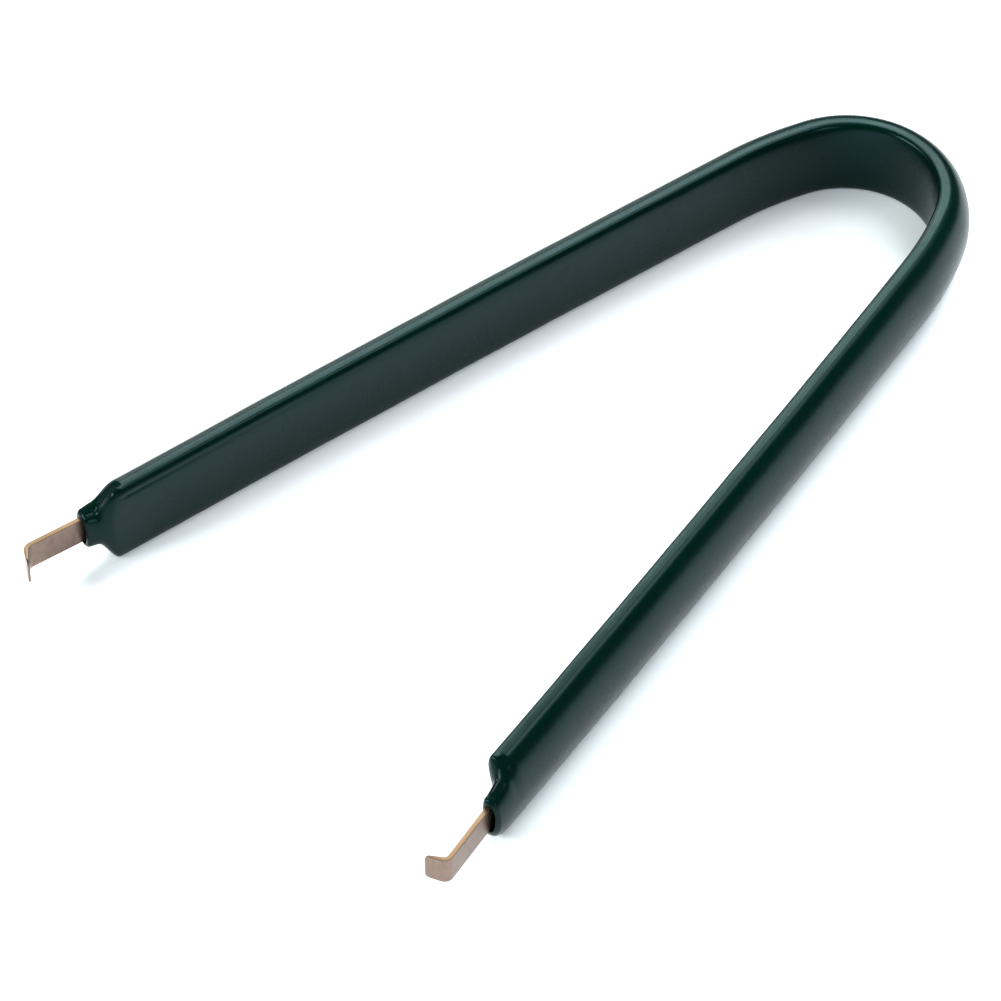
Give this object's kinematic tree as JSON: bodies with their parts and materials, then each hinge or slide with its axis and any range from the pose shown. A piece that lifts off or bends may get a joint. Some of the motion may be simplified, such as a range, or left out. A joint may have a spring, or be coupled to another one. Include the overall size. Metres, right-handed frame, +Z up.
{
  "type": "chip extractor",
  "caption": "V-shaped spring puller for lifting chips or keycaps: a bent steel strip with narrow hooked blades at its free ends, coated in soft dipped plastic.",
  "frame": {"origin": "under the middle of the puller's bounding box, on the plane that its lower long edges lie on", "axes": "+X points from the open ends to the bend, +Y across from one arm to the other, +Z up along the width of the strip"},
  "size_m": [0.1277, 0.07, 0.0115],
  "materials": {
    "spring_steel": "warm brushed steel with bright sheared edges",
    "dipped_plastic": "very dark green, satin to glossy dip-moulded vinyl"
  },
  "bodies": {
    "root": {"spring_strip": "spring_steel", "grip_coat": "dipped_plastic"}
  },
  "joints": []
}
